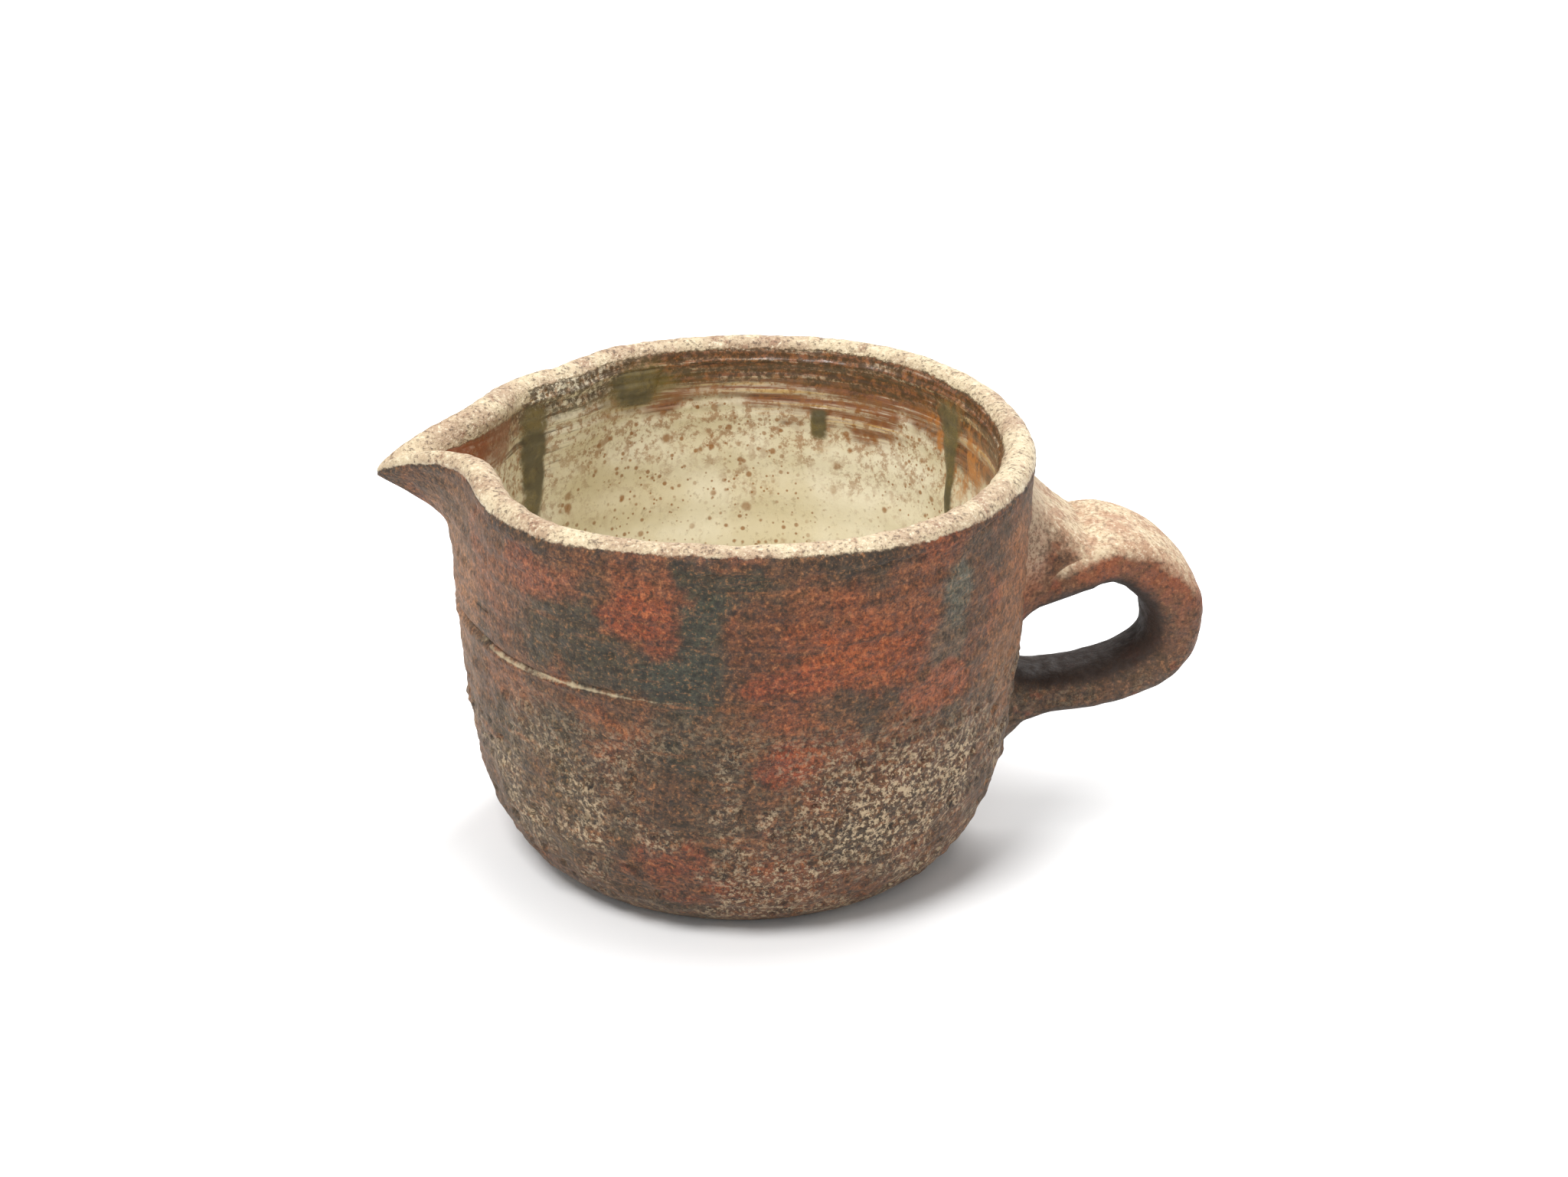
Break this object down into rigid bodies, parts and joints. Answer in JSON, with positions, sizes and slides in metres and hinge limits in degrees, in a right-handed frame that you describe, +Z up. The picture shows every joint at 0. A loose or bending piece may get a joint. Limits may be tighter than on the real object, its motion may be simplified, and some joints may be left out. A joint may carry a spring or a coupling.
{
  "type": "milk jug",
  "caption": "Small round stoneware milk jug with a pulled pouring spout, a strap loop handle, a glazed inside and an unglazed, ash-marked outside.",
  "frame": {"origin": "centre of the flat base, on the axis that the body was thrown about", "axes": "+Z up through the open top, -X towards the tip of the spout, +X towards the handle"},
  "size_m": [0.1378, 0.0964, 0.0731],
  "materials": {
    "fired_clay": "rough unglazed stoneware, rust brown with grey-green patches and pale ash crust",
    "handle_clay": "unglazed stoneware, rust brown to near black below, cream ash on its upper face",
    "cream_glaze": "satin cream-green glaze with brown speckles and throwing rings",
    "rim_ash_glaze": "grainy cream ash glaze, pinkish where thin",
    "olive_glaze": "glossy olive glaze, thick in its runs"
  },
  "bodies": {
    "root": {"thrown_body": "fired_clay", "spout": "fired_clay", "handle": "handle_clay", "handle_upper_lute": "handle_clay", "handle_lower_lute": "handle_clay", "glaze_lining": "cream_glaze", "rim_glaze": "rim_ash_glaze", "spout_glaze": "cream_glaze", "glaze_runs": "olive_glaze"}
  },
  "joints": []
}
